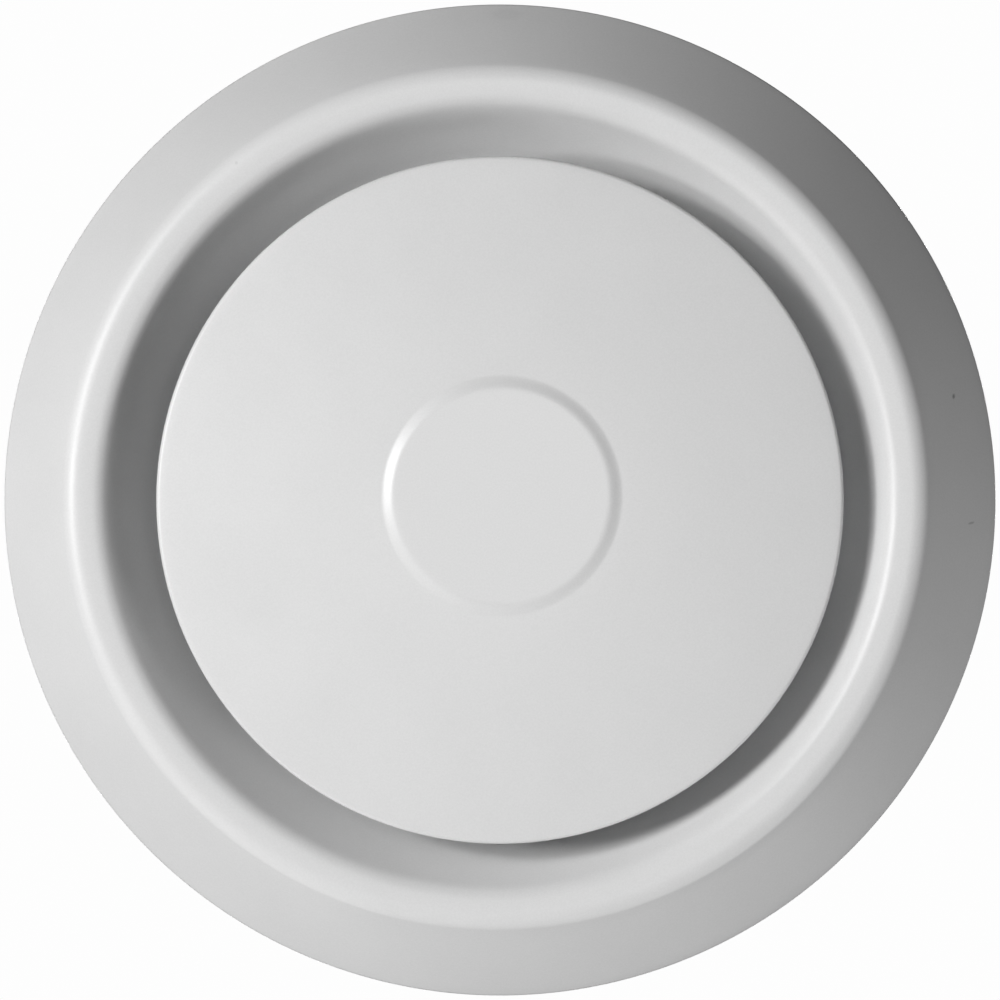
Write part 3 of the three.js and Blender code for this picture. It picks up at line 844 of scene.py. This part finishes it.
def build_bridge():
    obj = extrude("bridge_bar", bridge_outline(), -BRIDGE_HALF_WIDTH, BRIDGE_HALF_WIDTH, axis="y")
    boolean(obj, extrude("tab_shape", tab_outline(), -60, 60, axis="x"), "INTERSECT")
    boolean(obj, extrude("bush_hole", circle(6.25, 48),
                         CEIL + BRIDGE_LOW - 4, CEIL + BRIDGE_LOW + 6))
    for side_x, side_y in BRIDGE_RIVETS:
        start, end = sorted((side_x * 50, side_x * 58))
        hole = circle(2.15, 28, side_y * BRIDGE_RIVET_Y, CEIL + BRIDGE_RIVET_Z)
        boolean(obj, extrude("rivet_hole", hole, start, end, axis="x"))
    bevel(obj, width=0.22, segments=2)
    finish_piece(obj, GALVANISED, "valve_body", "bridge")


build_bridge()


# ---------------------------------------------------------------- blind rivets
def rivet(name, shank, head, grip, tail):
    """Radii of shank, head and bulbed tail, and the grip length.

    The domed head is at the low end of local Z, with the mandrel's broken stub in its middle.
    """
    profile = [
        (0, -0.75), (0.55, -0.78), (0.72, -0.62), (0.78, -1.12), (1.0, -1.22),
        (head * 0.55, -1.14), (head * 0.8, -0.86), (head * 0.95, -0.45), (head, -0.18),
        (head - 0.06, -0.02), (head - 0.25, 0.0),
        (shank, 0.0), (shank, grip), (shank + 0.25, grip + 0.1),
        (tail, grip + 0.6), (tail + 0.05, grip + 1.1), (tail - 0.25, grip + 1.75),
        (shank * 0.75, grip + 2.1), (0.9, grip + 2.2), (0.75, grip + 2.0), (0, grip + 2.0),
    ]
    return revolve(name, profile, segments=40)


def build_bridge_rivets():
    """Heads on the inner faces of the bridge's upturned ends."""
    for i, (side_x, side_y) in enumerate(BRIDGE_RIVETS, 1):
        obj = rivet(f"bridge_blind_rivet_{i}", shank=1.9, head=3.3, grip=3.9, tail=2.55)
        place = Matrix.Translation((side_x * (BRIDGE_HALF - BRIDGE_SHEET - GAP) * MM,
                                    side_y * BRIDGE_RIVET_Y * MM, (CEIL + BRIDGE_RIVET_Z) * MM))
        transform(obj, place @ Matrix.Rotation(side_x * math.pi / 2, 4, "Y"))
        shade(obj, 50)
        finish_piece(obj, ZINC, "valve_body", f"bridge_rivet_{i}")


build_bridge_rivets()

# ---------------------------------------------------------------- threaded bush in the bridge
BUSH_LOW = BRIDGE_LOW - 1.8
BUSH_TOP = BRIDGE_LOW + 2.0
BRIM_TOP = BRIDGE_LOW - GAP
BUSH = [    # radius, height
    (4.2, BUSH_LOW + 0.45), (4.65, BUSH_LOW), (8.9, BUSH_LOW), (9.35, BUSH_LOW + 0.2),
    (9.5, BUSH_LOW + 0.55), (9.5, BRIM_TOP - 0.15), (9.35, BRIM_TOP), (6.0, BRIM_TOP),
    (6.0, BRIDGE_LOW + 1.75), (5.75, BUSH_TOP), (4.65, BUSH_TOP), (4.2, BRIDGE_LOW + 1.6),
]


def build_bush():
    bush = revolve("bridge_bush", densify(BUSH, 0.8, closed=True), segments=72, base=CEIL)
    shade(bush, 35)
    finish_piece(bush, DULL_ZINC, "valve_body", "threaded_bush")


build_bush()

# ---------------------------------------------------------------- retaining springs: bowed leaf clips
CLIP_AZIMUTHS = (90, 210, 330)
CLIP_RIVET_Z = 26.0
CLIP_SHEET = 0.5
CLIP_IN = COLLAR_OUT + GAP
CLIP_END_CORNER = 2.2
CLIP_COLUMNS = 12
CLIP_BLEND_R = COLLAR_OUT + 0.5
# distance out from CLIP_IN, height
CLIP_BOW = [(0, 29.5), (0, 26.0), (0, 22.6), (0.75, 19.2),
            (1.7, 15.5), (2.1, 13.4), (1.85, 11.4), (1.1, 8.0)]


def leaf_clip(name):
    """A clip on the +X side: across runs along Y, and the lower end is narrower."""
    inner = spline([(CLIP_IN + out, z) for out, z in CLIP_BOW], 7)
    outer = offset(inner, CLIP_SHEET)
    travelled = [0.0]
    for a, b in zip(inner, inner[1:]):
        travelled.append(travelled[-1] + math.hypot(b[0] - a[0], b[1] - a[1]))
    total = travelled[-1]
    m = CLIP_COLUMNS
    verts, faces = [], []
    for *sides, along in zip(inner, outer, travelled):
        half = 6.0 - 1.5 * (along / total) ** 2
        for to_end in (along, total - along):
            c = CLIP_END_CORNER
            if to_end < c:
                half -= c - math.sqrt(max(c * c - (c - to_end) ** 2, 0))
        for x, z in sides:
            for k in range(m + 1):
                verts.append((x * MM, half * (2 * k / m - 1) * MM, (z + CEIL) * MM))
    row = 2 * (m + 1)
    for start in range(0, (len(inner) - 1) * row, row):
        after = start + row
        for k in range(m):
            a = start + k
            faces.append((a, a + 1, a + row + 1, a + row))
            b = a + m + 1
            faces.append((b, b + row, b + row + 1, b + 1))
        faces.append((start, after, after + m + 1, start + m + 1))
        faces.append((start + m, start + row - 1, after + row - 1, after + m))
    last = (len(inner) - 1) * row
    for k in range(m):
        faces.append((k, m + 1 + k, m + 2 + k, k + 1))
        faces.append((last + k, last + k + 1, last + m + 2 + k, last + m + 1 + k))
    clip = new_object(name, verts, faces, smooth=False)
    boolean(clip, extrude("clip_hole", circle(1.85, 28, 0, CEIL + CLIP_RIVET_Z), 54, 62, axis="x"))
    bevel(clip, width=0.09, segments=1, angle=50)
    return clip


def build_clips():
    """Three clips round the collar, each with a rivet whose head is outside."""
    for i, azimuth in enumerate(CLIP_AZIMUTHS, 1):
        turn = Matrix.Rotation(rad(azimuth), 4, "Z")
        clip = leaf_clip(f"leaf_clip_{i}")
        transform(clip, turn)
        out = Vector((math.cos(rad(azimuth)), math.sin(rad(azimuth)), 0)) * CLIP_BLEND_R * MM
        finish_spring(clip, f"retaining_spring_{i}")

        obj = rivet(f"clip_blind_rivet_{i}", shank=1.6, head=2.6, grip=2.5, tail=2.25)
        head_r = CLIP_IN + CLIP_SHEET + GAP
        place = Matrix.Translation((head_r * MM, 0, (CEIL + CLIP_RIVET_Z) * MM))
        transform(obj, turn @ place @ Matrix.Rotation(-math.pi / 2, 4, "Y"))
        shade(obj, 50)
        finish_piece(obj, ZINC, "valve_body", f"spring_rivet_{i}")


build_clips()

# ---------------------------------------------------------------- spindle stack: heights from the plateau
HUB_TOP, HUB_SHEET = 8.2, 1.2
HEAD_LOW, HEAD_TOP = SHEET + GAP, HUB_TOP - HUB_SHEET - GAP
THREAD_PITCH = 1.25
SPINDLE_TIP = CEIL + 42.0
GROOVE = CEIL + 36.0
HEX_FLATS = 13               # across flats, for the head and both nuts
NUT_BORE = 4.05
JAM_LOW, JAM_HEIGHT = HUB_TOP + GAP, 4.0
WASHER_LOW, WASHER_HEIGHT = JAM_LOW + JAM_HEIGHT + GAP, 1.2
SPRING_LOW = WASHER_LOW + WASHER_HEIGHT + GAP
SPRING_TOP = CEIL + BUSH_LOW - GAP
LOCK_WASHER_LOW = CEIL + BUSH_TOP + GAP
LOCK_NUT_LOW, LOCK_NUT_HEIGHT = LOCK_WASHER_LOW + 1.0 + GAP, 6.5


def dent_spot_welds(v):
    """Six dimples round the hub's brim."""
    angle = np.arctan2(v[:, 1], v[:, 0])
    r = np.hypot(v[:, 0], v[:, 1])
    for k in range(6):
        c = 2 * math.pi * (k + 0.5) / 6
        apart = ((r * np.cos(angle) - 29.5 * math.cos(c)) ** 2
                 + (r * np.sin(angle) - 29.5 * math.sin(c)) ** 2)
        v[:, 2] -= 0.28 * np.exp(-(apart / 2.6) ** 2)
    return v


def build_hub_plate():
    """A hat section whose brim lies on the disc's back."""
    brim = height_at(DISC_BACK, 25)
    plateau = height_at(DISC_BACK, 15)
    under = HUB_TOP - HUB_SHEET
    line = [(r, height_at(DISC_BACK, r) + 0.3) for r in (34.0, 30.0, 26.0)]
    line += [
        (24.6, brim + 0.32), (23.4, brim + 0.5), (16.2, plateau + 1.0), (15.0, plateau + 1.25),
        (14.2, plateau + 2.0), (12.9, under - 0.55), (12.2, under - 0.12), (11.2, under),
        (4.25, under),
    ]
    line = densify(line, 1.0)
    hub = revolve("disc_hub_plate", join_faces(line, offset(line, -HUB_SHEET)),
                  segments=240, warp=dent_spot_welds)
    shade(hub, 45)
    finish_piece(hub, GALVANISED, "disc_assembly", "hub_plate")


build_hub_plate()


def hexagon(name, low, top, bore=0, segments=96):
    """A hexagon with chamfered corners; bore 0 makes a solid head."""
    face_r = HEX_FLATS / 2 * 0.93        # where the corner chamfer starts
    bore_chamfer = 0.45
    chamfer_rise = math.tan(rad(30))

    def section(angle):
        side = HEX_FLATS / 2 / math.cos(rad((math.degrees(angle) + 30) % 60 - 30))
        inset = side - 0.05
        fall, inset_fall = (side - face_r) * chamfer_rise, (inset - face_r) * chamfer_rise
        points = [(face_r, low), (inset, low + inset_fall), (side, low + fall + 0.04),
                  (side, top - fall - 0.04), (inset, top - inset_fall), (face_r, top)]
        if bore:
            wide = bore + bore_chamfer
            return ([(bore, low + bore_chamfer), (wide, low)] + points
                    + [(wide, top), (bore, top - bore_chamfer)])
        return [(0.01, low)] + points + [(0.01, top)]

    angles = [2 * math.pi * k / segments for k in range(segments)]
    rows = list(zip(*[section(a) for a in angles]))
    verts = [(r * math.cos(a) * MM, r * math.sin(a) * MM, z * MM)
             for row in rows for a, (r, z) in zip(angles, row)]
    obj = new_object(name, verts, grid_faces(len(rows), segments, closed=bore > 0))
    shade(obj, 28)
    return obj


def build_spindle():
    z = HEAD_LOW + 1.2
    rows = [(z, 3.35, 3.35)]
    while z < SPINDLE_TIP - 1.0:
        z += 0.1
        in_groove = GROOVE - 0.25 < z < GROOVE + 1.45
        rows.append((z, 3.2, 3.2) if in_groove else (z, 3.92, 3.32))
    rows += [(SPINDLE_TIP - 0.7, 3.62, 3.3), (SPINDLE_TIP - 0.35, 3.3, 3.2),
             (SPINDLE_TIP - 0.08, 3.05, 3.05), (SPINDLE_TIP, 2.85, 2.85)]
    spindle = threaded_rod("spindle_screw", rows, segments=56, pitch=THREAD_PITCH)
    boolean(spindle, hexagon("spindle_head", HEAD_LOW, HEAD_TOP), "UNION")
    shade(spindle, 48)
    finish_piece(spindle, ZINC, "disc_assembly", "spindle")


def build_jam_nut():
    nut = hexagon("hub_jam_nut", JAM_LOW, JAM_LOW + JAM_HEIGHT, NUT_BORE)
    finish_piece(nut, ZINC, "disc_assembly", "jam_nut")


def build_thrust_washer():
    low, top = WASHER_LOW, WASHER_LOW + WASHER_HEIGHT
    profile = [
        (4.3, low + 0.2), (4.5, low), (8.7, low), (8.95, low + 0.15), (9.0, low + 0.4),
        (9.0, low + 0.85), (8.9, low + 1.1), (8.65, top), (4.5, top), (4.3, low + 1.0),
    ]
    washer = revolve("spring_thrust_washer", densify(profile, 0.8, closed=True), segments=96)
    shade(washer, 40)
    finish_piece(washer, ZINC, "spring_seat", "thrust_washer")


def build_lock_nut():
    nut = hexagon("spindle_lock_nut", LOCK_NUT_LOW, LOCK_NUT_LOW + LOCK_NUT_HEIGHT, NUT_BORE)
    finish_piece(nut, ZINC, "lock_nut_body", "lock_nut")


def build_lock_washer():
    """External teeth twisted out of the flat."""
    segments, teeth = 240, 12
    bore, root, tooth_depth, thickness = 4.35, 6.75, 1.85, 0.7
    # share of the thickness, share of the way from the bore to the rim
    section = [(0, 0.0), (0, 0.35), (0, 0.65), (0, 0.96), (0.18, 1.0),
               (0.82, 1.0), (1, 0.96), (1, 0.65), (1, 0.35), (1, 0.0)]
    verts = []
    for up, out in section:
        for k in range(segments):
            angle = 2 * math.pi * k / segments
            phase = (angle / (2 * math.pi) * teeth) % 1.0 - 0.5
            tooth = float(np.clip((0.30 - abs(phase)) / 0.06, 0, 1))
            r = bore + (root + tooth_depth * tooth - bore) * out
            twist = max(0.0, (r - 6.4) / 2.2) * phase * 1.5
            z = LOCK_WASHER_LOW + 0.15 + up * thickness + twist
            verts.append((r * math.cos(angle) * MM, r * math.sin(angle) * MM, z * MM))
    washer = new_object("toothed_lock_washer", verts,
                        grid_faces(len(section), segments, closed=True))
    shade(washer, 40)
    finish_piece(washer, ZINC, "lock_washer_body", "lock_washer")


def build_stop_ring():
    """An open ring with a holed lug on each side of its gap, which faces +X."""
    half_gap, steps = rad(22), 48
    sweep = 2 * math.pi - 2 * half_gap
    outline = []
    for i in range(steps + 1):
        angle = half_gap + sweep * i / steps
        to_gap = min(angle - half_gap, 2 * math.pi - half_gap - angle)
        lug = max(0.0, 1 - to_gap / rad(26))
        r = 6.3 + 1.3 * (lug * lug * (3 - 2 * lug)) ** 0.6
        outline.append((r * math.cos(angle), r * math.sin(angle)))
    for i in range(steps + 1):
        angle = 2 * math.pi - half_gap - sweep * i / steps
        outline.append((3.45 * math.cos(angle), 3.45 * math.sin(angle)))
    ring = extrude("spindle_stop_ring", outline, GROOVE + 0.1, GROOVE + 1.1)
    for side in (1, -1):
        a = side * rad(33)
        hole = circle(0.75, 20, 6.0 * math.cos(a), 6.0 * math.sin(a))
        boolean(ring, extrude("lug_hole", hole, GROOVE - 1, GROOVE + 2))
    bevel(ring, width=0.12, segments=2, angle=40)
    finish_piece(ring, STEEL, "disc_assembly", "end_stop_ring")


def build_preload_spring():
    """A coil whose end turns lie almost flat."""
    wire_r, coil_r = 0.6, 7.0
    turns, per_turn, around = 4.5, 60, 14
    end_turns, end_rise = 0.8, 0.35
    span = SPRING_TOP - SPRING_LOW - 2 * wire_r

    def rise(t):
        if t < end_turns:
            return end_rise * (t / end_turns) ** 2
        if t > turns - end_turns:
            return span - end_rise * ((turns - t) / end_turns) ** 2
        return end_rise + (span - 2 * end_rise) * (t - end_turns) / (turns - 2 * end_turns)

    rows = int(turns * per_turn) + 1
    verts = []
    for i in range(rows):
        t = i / per_turn
        a = 2 * math.pi * t
        z = SPRING_LOW + wire_r + rise(t)
        for k in range(around):
            b = 2 * math.pi * k / around
            r = coil_r + wire_r * math.cos(b)
            verts.append((r * math.cos(a) * MM, r * math.sin(a) * MM,
                          (z + wire_r * math.sin(b)) * MM))
    spring = new_object("preload_coil_spring", verts, grid_faces(rows, around))
    shade(spring, 60)
    finish_spring(spring, "preload_spring")


build_spindle()
build_jam_nut()
build_thrust_washer()
build_lock_nut()
build_lock_washer()
build_stop_ring()
build_preload_spring()

# ---------------------------------------------------------------- frame screws
CREST_R, ROOT_R, NECK_R = 1.95, 1.35, 1.5
POINT_START, POINT_LENGTH, POINT_STEPS = 19.5, 4.3, 14
SCREW_HEAD = [(0, -3.5), (1.6, -3.42), (2.8, -3.05), (3.6, -2.4),       # radius, height
              (3.95, -1.7), (4.0, -1.25), (3.85, -1.1), (0, -1.1)]


def frame_screw(name, x, y):
    rows = [(-1.2, 1.3, 1.3)]
    z = -1.0
    while z < POINT_START:
        rows.append((z, CREST_R, ROOT_R) if z > 0.4 else (z, NECK_R, NECK_R))
        z += 0.12
    for i in range(1, POINT_STEPS + 1):
        f = i / POINT_STEPS
        rows.append((POINT_START + POINT_LENGTH * f,
                     CREST_R * (1 - f) + 0.05, ROOT_R * (1 - f) + 0.05))
    screw = threaded_rod(name, rows, segments=36, pitch=1.8)
    head = revolve(name + "_head", densify(SCREW_HEAD, 0.6), segments=64)
    for u, v in ((2.1, 0.42), (0.42, 2.1)):      # the two arms of the cross recess
        boolean(head, extrude("recess", [(-u, -v), (u, -v), (u, v), (-u, v)], -5, -2.1))
    boolean(screw, head, "UNION")
    transform(screw, Matrix.Translation((x * MM, y * MM, CEIL * MM)))
    shade(screw, 45)
    return screw


for i, (x, y) in enumerate(SCREWS, 1):
    finish_piece(frame_screw(f"ceiling_screw_{i}", x, y), ZINC, "duct_frame", f"frame_screw_{i}")

# ---------------------------------------------------------------- stage, in metres
BACKDROP = (0.985, 0.985, 0.985)
FLOOR_Z = -3.10
scene = bpy.context.scene
scene.view_settings.view_transform = "Standard"
scene.view_settings.look = "None"


def floor_paint():
    """Pale paint that fades into the backdrop colour far out."""
    s = Surface("studio_floor_paint")
    s.set("Base Color", s.ramp(s.noise(scale=1.2, detail=3), [(0.3, 0.80), (0.7, 0.83)]))
    s.set("Roughness", 0.9)
    distance = s.math("DIVIDE", s.length(s.coords), 12.0)
    fade = s.ramp(distance, [(0.05, 0.74), (0.60, 1.0)])
    glow = s.add("Emission")
    s.feed(glow.inputs[0], BACKDROP)
    mixed = s.add("MixShader")
    s.feed(mixed.inputs[0], fade)
    s.feed(mixed.inputs[1], s.shader.outputs[0])
    s.feed(mixed.inputs[2], glow.outputs[0])
    s.feed(s.output.inputs[0], mixed.outputs[0])
    return s.material


def build_floor():
    bpy.ops.mesh.primitive_grid_add(x_subdivisions=8, y_subdivisions=8, size=60,
                                    location=(0, 0, FLOOR_Z))
    floor = bpy.context.object
    floor.name = "studio_floor"
    floor.data.materials.append(floor_paint())
    floor.visible_diffuse = False
    floor.visible_glossy = False
    floor.visible_shadow = False


def build_world():
    """A pale backdrop for the camera, a low even light for everything else."""
    world = bpy.data.worlds.new("studio")
    scene.world = world
    world.use_nodes = True
    nodes, links = world.node_tree.nodes, world.node_tree.links
    nodes.clear()
    output = nodes.new("ShaderNodeOutputWorld")
    seen = nodes.new("ShaderNodeBackground")
    seen.inputs[0].default_value = (*BACKDROP, 1)
    ambient = nodes.new("ShaderNodeBackground")
    ambient.name = "ambient"
    ambient.inputs[0].default_value = (1, 1, 1, 1)
    ambient.inputs[1].default_value = 0.02
    ray = nodes.new("ShaderNodeLightPath")
    mixed = nodes.new("ShaderNodeMixShader")
    links.new(ray.outputs["Is Camera Ray"], mixed.inputs[0])
    links.new(ambient.outputs[0], mixed.inputs[1])
    links.new(seen.outputs[0], mixed.inputs[2])
    links.new(mixed.outputs[0], output.inputs[0])


LIGHT_TARGET = Vector((0, 0, 0.01))
# Azimuth turns from +X towards -Y; elevation is positive below the face.
# name, azimuth, elevation, distance, diameter, watts
ROOM_LIGHTS = [
    ("key_a", 178, 46, 1.6, 0.25, 6.9),
    ("key_b", 163, 46, 1.6, 0.25, 6.9),
    ("key_c", 163, 53, 1.6, 0.25, 5.1),
    ("key_d", 178, 39, 1.6, 0.25, 2.5),
    ("key_e", 148, 53, 1.6, 0.25, 1.5),
    ("low_a", 310, 8, 1.6, 0.40, 4.1),
    ("low_b", 290, 8, 1.6, 0.40, 2.4),
    ("low_c", 245, 8, 1.6, 0.40, 2.4),
    ("side_a", 325, 24, 1.6, 0.40, 2.7),
    ("side_b", 225, 24, 1.6, 0.40, 1.5),
    ("front", 0, 88, 1.4, 0.50, 2.5),
]
# Lights above the ceiling plane, for the hardware. Each leaves out the pieces, given last,
# that a closed duct and a ceiling would keep dark.
TOP_LIGHTS = [
    ("back_key", 200, -44, 1.8, 1.3, 14.0, (face_ring, front_disc)),
    ("back_fill", 30, -32, 1.8, 1.7, 12.0, (face_ring, front_disc)),
    ("back_rim", 300, -60, 1.8, 1.0, 6.0, (face_ring, front_disc)),
    ("back_side", 105, -24, 1.8, 1.6, 14.0, (face_ring, front_disc)),
    ("back_top", 200, -84, 1.8, 0.6, 12.0, (front_disc,)),
]
RING_LIGHT = ("back_ring", 20, -83, 1.8, 0.5, 20.0)      # lights the back of the ring alone


def area_light(name, azimuth, elevation, distance, diameter, watts):
    a, e = rad(azimuth), rad(elevation)
    away = Vector((math.cos(e) * math.cos(a), -math.cos(e) * math.sin(a), -math.sin(e)))
    data = bpy.data.lights.new(name, "AREA")
    data.shape = "DISK"
    data.size = diameter
    data.energy = watts
    lamp = bpy.data.objects.new(name, data)
    scene.collection.objects.link(lamp)
    lamp.location = LIGHT_TARGET + away * distance
    lamp.rotation_euler = (-away).to_track_quat("-Z", "Y").to_euler()
    lamp.visible_camera = False
    return lamp


def link_receivers(lamp, name, pieces):
    """Limits a lamp to the pieces, and returns the collection that does so."""
    linked = bpy.data.collections.new(name)
    for piece in pieces:
        linked.objects.link(piece)
    lamp.light_linking.receiver_collection = linked
    return linked


def build_lights():
    for light in ROOM_LIGHTS:
        area_light(*light)
    for *light, left_out in TOP_LIGHTS:
        lamp = area_light(*light)
        for entry in link_receivers(lamp, lamp.name + "_leaves_out", left_out).collection_objects:
            entry.light_linking.link_state = "EXCLUDE"
    link_receivers(area_light(*RING_LIGHT), "back_ring_lights_only", [face_ring])


CAMERA_DISTANCE = 2.50       # below the rim's lower edge
SENSOR = 36
RIM_SHARE = 0.991            # of the view's half width, filled by the rim's radius


def build_camera():
    """Looks straight up at the face, with +X to the right and -Y at the top of the view."""
    data = bpy.data.cameras.new("camera")
    camera = bpy.data.objects.new("camera", data)
    scene.collection.objects.link(camera)
    data.sensor_width = SENSOR
    data.lens = SENSOR / 2 * CAMERA_DISTANCE / (RIM_R * MM / RIM_SHARE)
    z = (CEIL + RIM_TOP - RIM_EDGE) * MM - CAMERA_DISTANCE
    camera.matrix_world = Matrix(((1, 0, 0, 0), (0, -1, 0, 0), (0, 0, -1, z), (0, 0, 0, 1)))
    data.clip_start, data.clip_end = 0.05, 50
    scene.camera = camera


build_floor()
build_world()
build_lights()
build_camera()
